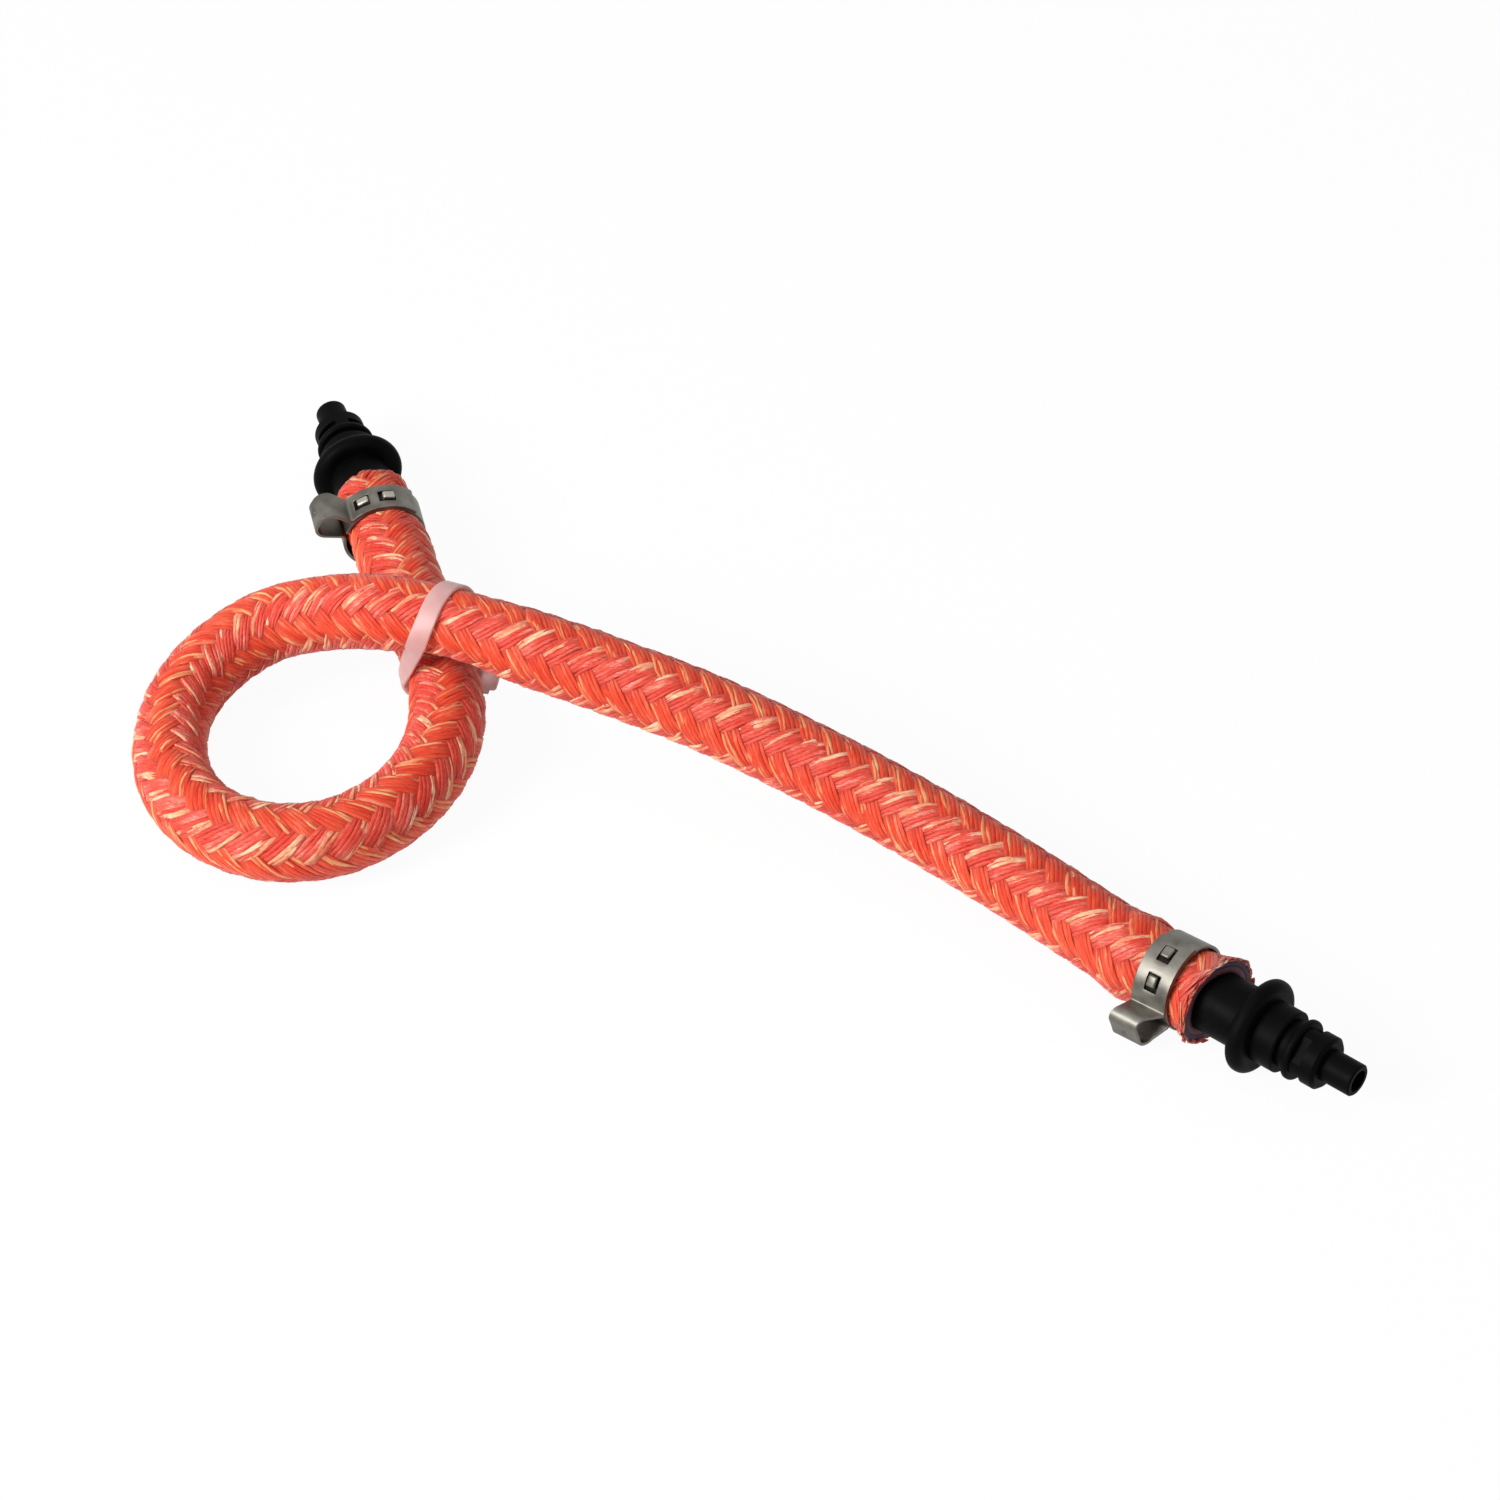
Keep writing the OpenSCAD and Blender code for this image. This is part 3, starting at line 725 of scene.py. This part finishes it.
# Glass-filled nylon 66, injection moulded and lightly tumbled: deep black with a soft satin gloss,
# clouded every 5 mm or so
nylonFinish = {
    "cloud": {"Scale": 190.0, "Detail": 4.0, "Roughness": 0.6},
    "grain": {"Scale": 3800.0, "Detail": 2.0},
    "roughness": (0.42, 0.56),
    "surface": {"IOR": 1.5, "Specular IOR Level": 0.03},
    "relief": (0.25, 0.06),
    "stops": ((0.3, "#040404"), (0.65, "#080708"), (0.85, "#110f11")),
}
blackNylon = grainedMaterial("mouldedNylon66", nylonFinish, nylonFinish["stops"])
fittings = [frame["nodes"][name] for name in ("near_fitting", "far_fitting")]
for fitting in fittings:
    fitting.data.materials.clear()
    fitting.data.materials.append(blackNylon)
print("rubber and fittings finished")


def endFrame(end, out):
    # z out of the hose, x down, y to the left
    azimuth = math.atan2(out.y, out.x)
    rotation = Matrix(((0, -math.sin(azimuth), math.cos(azimuth), 0),
                       (0, math.cos(azimuth), math.sin(azimuth), 0),
                       (-1, 0, 0, 0), (0, 0, 0, 1)))
    return Matrix.Translation(end) @ rotation


clamp = {
    "bandRadius": 7.3,
    "strip": 0.6,
    "lapTo": 111.0,  # where the outer turn ends, in degrees from the ear
    "tongueEnd": 8.0,  # how far the inner turn goes on past the ear
    "windowLength": 3.1,
    "windowWidth": 2.5,
    "windowRim": 0.14,
    "shadeShort": 1.0,  # the shaded steel stops this many degrees short of the window
    "rows": (0.3, 0.6, 0.9),  # extra rows of points along the middle, for the dimple
    "outerRun": 6.0,  # degrees of band over which each leg bends up from it
    "innerRun": 7.0,
    "legRise": 0.9,
    "dimple": 1.0,  # radius of the dimple in the crown of the ear
    "dimpleDepth": 0.4,
    "drawnFrom": 1.4,  # height over the band where the strip starts to narrow or widen
    "drawnOver": 1.6,
    "edgeSoft": 0.11,
    "bevelFrom": 50.0,  # degrees between faces from which an edge is rounded, and drawn sharp
    "sharpFrom": 38.0,
    "hookHeight": 1.44,
    "hookSunk": 0.4,  # share of the strip's thickness at which a tab starts
    "hookTurn": 2.0,
    "hookSoft": 0.38,
    "bandStep": 5.0,  # degrees between points on the outer turn
    "innerSteps": 72,
    "bendSteps": 9,
    "crownSteps": 8,
    "footSteps": 5,
    # feet is where the outer and the inner turn go up into the ear, leans how far those two legs
    # spread towards the crown, earSkew how far the ear leans towards the loop for its height, and
    # tilt, turn, ear and flip turn the finished clamp on the hose, in that order
    "near": {
        "width": 7.0, "windows": (48.0, 86.0), "hook": (2.2, 1.9), "bend": 1.8,
        "feet": (14.1, 8.0), "leans": (24.0, 26.0),
        "earHeight": 5.4, "earWidth": 5.6, "earSkew": 0.4,
        "inFromCut": 8.6, "tilt": -4.0, "turn": 0.0, "ear": -73.0, "flip": 180.0},
    "far": {
        "width": 5.7, "windows": (36.0, 70.0), "hook": (2.3, 1.6), "bend": 2.4,
        "feet": (14.2, 14.5), "leans": (10.0, 10.0),
        "earHeight": 6.4, "earWidth": 6.1, "earSkew": 0.0,
        "inFromCut": 8.0, "tilt": -9.0, "turn": 4.0, "ear": 117.0, "flip": 0.0},
}


def onCircle(radius, degrees):
    angle = math.radians(degrees)
    return radius * math.cos(angle), radius * math.sin(angle)


def footBend(start, corner, end):
    # an easy curve from start to end that leans towards the corner
    made = []
    for k in range(clamp["footSteps"] + 1):
        t = k / clamp["footSteps"]
        shares = ((1 - t) ** 2, 2 * t * (1 - t), t * t)
        made.append(tuple(sum(s * p for s, p in zip(shares, places)) for places in zip(start, corner, end)))
    return made


def earBend(middleX, middleY, radius, sweep):
    # from the crown down to the leg
    made = []
    for k in range(clamp["bendSteps"] + 1):
        angle = sweep * k / clamp["bendSteps"]
        made.append((middleX + radius * math.cos(angle), middleY + radius * math.sin(angle)))
    return made


def clampStrip(own):
    # middle line of the strip, from its outer end over the ear and once round to its inner end, and
    # which steps of it are windows
    strip, band = clamp["strip"], clamp["bandRadius"]
    outer, inner = band + 1.5 * strip, band + 0.5 * strip
    radius = own["bend"] - strip / 2
    bendX = band + strip + own["earHeight"] - own["bend"]
    legs = []
    for turnRadius, foot, lean in zip((outer, inner), own["feet"], own["leans"]):
        x, y = onCircle(turnRadius, foot)
        riseX, riseY = onCircle(clamp["legRise"], lean)
        angle = math.radians(lean)
        legTop = y + (bendX - radius * math.sin(angle) - x) * math.tan(angle)
        legs.append(((x, y), (x + riseX, y + riseY), legTop - radius * math.cos(angle), math.pi / 2 + angle))
    (outerFoot, outerRise, outerY, outerSweep), (innerFoot, innerRise, innerY, innerSweep) = legs

    half = math.degrees(clamp["windowLength"] / 2 / outer)
    cuts = sorted((w + s * half for w in own["windows"] for s in (-1, 1)), reverse=True)
    stops = [clamp["lapTo"]] + cuts + [own["feet"][0] + clamp["outerRun"]]
    line, gaps = [], []
    for part, (start, end) in enumerate(zip(stops, stops[1:])):
        pieces = max(2, round((start - end) / clamp["bandStep"]))
        line += [onCircle(outer, start + (end - start) * k / pieces) for k in range(pieces)]
        gaps += [part in (1, 3)] * pieces
    line += footBend(onCircle(outer, stops[-1]), outerFoot, outerRise)
    line += reversed(earBend(bendX, outerY, radius, outerSweep))
    steps = clamp["crownSteps"]
    line += [(bendX + radius, outerY - (outerY + innerY) * k / steps) for k in range(1, steps)]

    first, last = -own["feet"][1] - clamp["innerRun"], -360.0 - clamp["tongueEnd"]
    line += [(x, -y) for x, y in earBend(bendX, innerY, radius, innerSweep)]
    (x, y), (riseX, riseY) = innerFoot, innerRise
    line += footBend((riseX, -riseY), (x, -y), onCircle(inner, first))
    steps = clamp["innerSteps"]
    line += [onCircle(inner, first + (last - first) * k / steps) for k in range(1, steps + 1)]
    gaps += [False] * (len(line) - len(gaps))
    return line, gaps


def underWindow(x, y, windows):
    # whether a place is on the inner turn of the band and lies under a window
    angle = math.degrees(math.atan2(y, x))
    half = math.degrees(clamp["windowLength"] / 2 / clamp["bandRadius"]) - clamp["shadeShort"]
    onInner = math.hypot(x, y) < clamp["bandRadius"] + clamp["strip"]
    return onInner and any(abs(angle - w) < half for w in windows)


def pressed(own, x, y, z):
    # the strip is drawn to another width over the ear, which is dimpled in its crown
    off = math.hypot(y, z) / clamp["dimple"]
    crown = clamp["bandRadius"] + clamp["strip"] + own["earHeight"]
    sunk = 0.0
    if off < 1 and x > crown - 1.5 * clamp["strip"]:
        sunk = clamp["dimpleDepth"] * (1 + math.cos(math.pi * off)) / 2
    over = max(0.0, math.hypot(x, y) - clamp["bandRadius"] - clamp["drawnFrom"])
    drawn = 1 + (own["earWidth"] / own["width"] - 1) * min(1.0, over / clamp["drawnOver"])
    return Vector((x - sunk, y, z * drawn + own["earSkew"] * over))


def addHooks(work, own):
    # tabs pressed up from the inner turn through the windows
    base = clamp["bandRadius"] + clamp["strip"] * clamp["hookSunk"]
    for angle in own["windows"]:
        place = turned(angle + clamp["hookTurn"], "Z") @ Matrix.Translation(
            (base + clamp["hookHeight"] / 2, 0, 0))
        rounded = roundedBlock(work, place, (clamp["hookHeight"], *own["hook"]), clamp["hookSoft"], 4)
        for face in {f for v in rounded["verts"] for f in v.link_faces}:
            face.material_index = 2


def makeClamp(name, own, hoseEnd):
    line, gaps = clampStrip(own)
    half, hole, rim = own["width"] / 2, clamp["windowWidth"] / 2, clamp["windowRim"]
    side = [*clamp["rows"], hole, hole + rim, half - rim, half]
    rows = [-z for z in reversed(side)] + [0.0] + side
    points = [pressed(own, x, y, z) for x, y in line for z in rows]
    faces, shaded = [], []
    for i in range(len(line) - 1):
        middle = [(a + b) / 2 for a, b in zip(line[i], line[i + 1])]
        for j in range(len(rows) - 1):
            inside = abs(rows[j] + rows[j + 1]) / 2 < hole
            if gaps[i] and inside:
                continue
            p = i * len(rows) + j
            faces.append((p, p + 1, p + 1 + len(rows), p + len(rows)))
            # faces of the inner turn under a window take the darker steel, painted shade
            shaded.append(1 if inside and underWindow(*middle, own["windows"]) else 0)
    strip = meshObject(name, points, faces)
    fixNormals(strip)
    strip.data.polygons.foreach_set("material_index", shaded)
    for _ in range(3):
        strip.data.materials.append(None)
    wall = strip.modifiers.new("wall", "SOLIDIFY")
    wall.thickness = clamp["strip"]
    wall.offset = 0
    soft = strip.modifiers.new("edges", "BEVEL")
    soft.width = clamp["edgeSoft"]
    soft.segments = 2
    soft.limit_method = "ANGLE"
    soft.angle_limit = math.radians(clamp["bevelFrom"])
    mesh = finishedMesh(strip)
    strip.modifiers.clear()
    strip.data = mesh
    fixNormals(strip, lambda work: addHooks(work, own))
    place = hoseEnd @ Matrix.Translation((0, 0, -own["inFromCut"]))
    for angle, axis in ((own["tilt"], "Y"), (own["turn"], "X"), (own["ear"], "Z"), (own["flip"], "X")):
        place = place @ turned(angle, axis)
    strip.data.transform(Matrix.Scale(mm, 4) @ place)
    shadeSmooth(strip.data, clamp["sharpFrom"])
    return strip


# Cold-rolled 304 stainless strip, stamped and bent: dull grey, worn in patches of about 4 mm, with a
# fine grain that is drawn as coarse as it needs to show
steelFinish = {
    "cloud": {"Scale": 240.0, "Detail": 5.0},
    "grain": {"Scale": 5200.0, "Detail": 2.0},
    "roughness": (0.36, 0.52),
    "surface": {"Metallic": 1.0},
    "relief": (0.12, 0.04),
}
stainless, shadedStainless, tabHighlightSteel = (
    grainedMaterial(name, steelFinish, ((0.3, dark), (0.7, light))) for name, dark, light in (
        ("rolledStainless304", "#54514b", "#827f77"),
        # painted shade: the inner turn seen through a window, near-black steel
        ("paintedShadeUnderWindow", "#1b1917", "#2c2926"),
        # painted highlight: paler steel for the far clamp's tabs
        ("paintedHighlightTabs", "#9b978f", "#bab6ae")))

nearEnd = endFrame(route[-1], slope(len(route) - 2))
farEnd = endFrame(route[0], -slope(0))
nearClamp = makeClamp("nearEarClamp", clamp["near"], nearEnd)
farClamp = makeClamp("farEarClamp", clamp["far"], farEnd)
# the far clamp's tabs get the paler steel, a painted highlight; the near clamp's tabs stay plain
for piece, tabs in ((nearClamp, stainless), (farClamp, tabHighlightSteel)):
    for slot, finish in enumerate((stainless, shadedStainless, tabs)):
        piece.data.materials[slot] = finish
print("clamps made")


def strapArc(centre, square, side, angle):
    # a place on the strap's inner face and the hose's outward normal there
    away = Vector((math.cos(side) * math.cos(angle), math.sin(side) * math.cos(angle), math.sin(angle)))
    flat = math.cos(side - square) * math.cos(angle)
    normal = Vector((math.cos(square) * flat, math.sin(square) * flat, math.sin(angle)))
    radius = tie["radius"] + tie["sideEase"] * math.cos(angle) ** 4
    return centre + away * radius / normal.length, normal.normalized()


def strapLoop():
    # over the upper length of hose, down, under the lower one and up again
    arcs = []
    swing = (lowSquare - highSide) * tie["swingShare"]
    for centre, square, side, start, sense in (
            (high, highSquare, highSide, 0.0, 1), (low, lowSquare, lowSquare, 180.0, -1)):
        arc = []
        for k in range(tie["arcSteps"] + 1):
            a = 180 * k / tie["arcSteps"]
            swung = swing * max(0.0, 1 - min(a, 180 - a) / tie["swingReach"]) ** 2
            arc.append(strapArc(centre, square, side + sense * swung, math.radians(start + a)))
        arcs.append(arc)
    loop = []
    for arc, following in ((arcs[0], arcs[1]), (arcs[1], arcs[0])):
        loop += arc
        (place, out), (nextPlace, nextOut) = arc[-1], following[0]
        for k in range(1, tie["sideSteps"]):
            t = k / tie["sideSteps"]
            loop.append((place.lerp(nextPlace, t), out.lerp(nextOut, t).normalized()))
    return loop


def strapSection():
    # a flat bar with rounded corners, its inner face at 0
    half, thick, soft = tie["width"] / 2, tie["thickness"], tie["edgeSoft"]
    section = []
    for quarter, (side, top) in enumerate(((1, True), (-1, True), (-1, False), (1, False))):
        for k in range(4):
            x, y = onCircle(soft, 90 * quarter + 30 * k)
            section.append((side * (half - soft) + x, (thick - soft if top else soft) + y))
    return section


def makeTie():
    loop, section = strapLoop(), strapSection()
    count, sides = len(loop), len(section)
    points, faces = [], []
    for i, (place, out) in enumerate(loop):
        ahead = (loop[(i + 1) % count][0] - loop[i - 1][0]).normalized()
        across = ahead.cross(out).normalized()
        for x, y in section:
            points.append(place + across * x + out * y)
    for i in range(count):
        j = (i + 1) % count
        for k in range(sides):
            n = (k + 1) % sides
            faces.append((i * sides + k, j * sides + k, j * sides + n, i * sides + n))
    strap = meshObject("cableTieStrap", points, faces)
    fixNormals(strap, addHead)
    strap.data.transform(Matrix.Scale(mm, 4))
    shadeSmooth(strap.data, tie["sharpFrom"])
    return strap


def addHead(work):
    # the head and the stub of the tail, under the lower length of hose
    out, across, along = tie["head"]
    stubThick, stubLong = tie["stub"]
    place = Matrix.Translation(low) @ Matrix.Rotation(lowSquare, 4, "Z") @ turned(180 - tie["headAngle"], "Y")
    base = tie["radius"] + tie["headGap"]
    blocks = (
        ((base + out / 2, 0, 0), (out, across, along), tie["headSoft"]),
        ((base + out * tie["stubRise"], 0, along / 2 + tie["stubOut"]),
         (stubThick, tie["width"], stubLong), tie["stubSoft"]),
    )
    for centre, size, soft in blocks:
        roundedBlock(work, place @ Matrix.Translation(centre), size, soft, 3)


# Natural nylon 66 as moulded: milky, slightly see-through, so what it crosses tints it
tieFinish = {
    "cloud": {"Scale": 300.0, "Detail": 2.0},  # patches of about 3 mm
    "roughness": (0.46, 0.46),
    "surface": {"IOR": 1.53, "Transmission Weight": 0.55, "Specular IOR Level": 0.4,
                "Subsurface Weight": 0.3, "Subsurface Radius": (0.002, 0.0015, 0.0012),
                "Subsurface Scale": 1.0},
    "relief": (0.1, 0.08),
    "stops": ((0.3, "#f1c2bf"), (0.7, "#f6d2cf")),
}
cableTie = makeTie()
cableTie.data.materials.append(grainedMaterial("naturalNylon66", tieFinish, tieFinish["stops"]))
print("tie made")

stageSetup = {
    "floorSize": 3.0,
    "floorDrop": 0.0001,
    "floorColour": "#f4f4f4",
    "floorWhite": 0.95,  # share of plain white in what is seen of the floor; the rest takes shadow
    "worldColour": "#ffffff",
    "worldHeights": (0.1, 0.8),  # where the two strengths below begin and end
    "worldHorizon": 0.18,  # strength of the surroundings level with the floor, and overhead
    "worldOverhead": 0.43,
    "panels": (
        # name, power, size, place
        ("keyPanel", 11.6, 0.4, (-0.25, -0.8, 0.55)),
        ("topPanel", 1.3, 0.5, (-0.1, -0.1, 0.95)),
    ),
}


def rayThatSeesWhite(tree):
    # the background is white to the eye, and in what metal mirrors and the tie lets through
    ray = addNode(tree, "ShaderNodeLightPath").outputs
    direct = addNode(tree, maths, "MAXIMUM", [ray["Is Camera Ray"], ray["Is Transmission Ray"]])
    return addNode(tree, maths, "MAXIMUM", [direct, ray["Is Glossy Ray"]])


def buildFloor(setup):
    half = setup["floorSize"] / 2
    corners = [(x * half, y * half, 0) for x, y in ((-1, -1), (1, -1), (1, 1), (-1, 1))]
    floor = meshObject("studioFloor", corners, [(0, 1, 2, 3)])
    floor.location.z = -setup["floorDrop"]
    material, tree = newMaterial("paperSweep")
    add = partial(addNode, tree)
    part = add(maths, "MULTIPLY", [rayThatSeesWhite(tree), setup["floorWhite"]])
    paper = add("ShaderNodeBsdfDiffuse", inputs={"Color": linear(setup["floorColour"])})
    white = add("ShaderNodeEmission", inputs={"Color": (1, 1, 1, 1), "Strength": 1.0})
    mixed = add("ShaderNodeMixShader", inputs=[part, paper, white])
    add("ShaderNodeOutputMaterial", inputs={"Surface": mixed})
    floor.data.materials.append(material)


def buildWorld(setup):
    world = bpy.data.worlds.new("studioWorld")
    bpy.context.scene.world = world
    world.use_nodes = True
    tree = world.node_tree
    tree.nodes.clear()
    add = partial(addNode, tree)
    height = add("ShaderNodeSeparateXYZ", inputs=[add("ShaderNodeTexCoord").outputs["Generated"]])
    strength = add("ShaderNodeMapRange", inputs=[
        height.outputs[2], *setup["worldHeights"], setup["worldHorizon"], setup["worldOverhead"]])
    soft = add("ShaderNodeBackground", inputs={"Color": linear(setup["worldColour"]), "Strength": strength})
    white = add("ShaderNodeBackground", inputs={"Color": (1, 1, 1, 1), "Strength": 1.0})
    mixed = add("ShaderNodeMixShader", inputs=[rayThatSeesWhite(tree), soft, white])
    add("ShaderNodeOutputWorld", inputs={"Surface": mixed})


def addPanels(setup):
    for name, power, size, place in setup["panels"]:
        data = bpy.data.lights.new(name, "AREA")
        data.energy = power
        data.size = size
        lamp = bpy.data.objects.new(name, data)
        lamp.location = place
        lamp.rotation_euler = Vector(place).to_track_quat("Z", "Y").to_euler()
        bpy.context.collection.objects.link(lamp)


buildFloor(stageSetup)
buildWorld(stageSetup)
addPanels(stageSetup)
bpy.context.scene.view_settings.view_transform = "Standard"
print("stage built")

# what rides on what
bodyName = next(iter(frame["bodies"]))
for piece in (hoseLiner, hosePly, braidBase, *braidPieces, nearClamp, farClamp, cableTie):
    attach(piece, bodyName)
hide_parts("hose_liner")
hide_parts("hose_ply")
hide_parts("hose_braid")
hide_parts("near_clamp")
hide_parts("far_clamp")
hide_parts("cable_tie")
[tuple(p * mm) for p in reversed(hoseLine)]
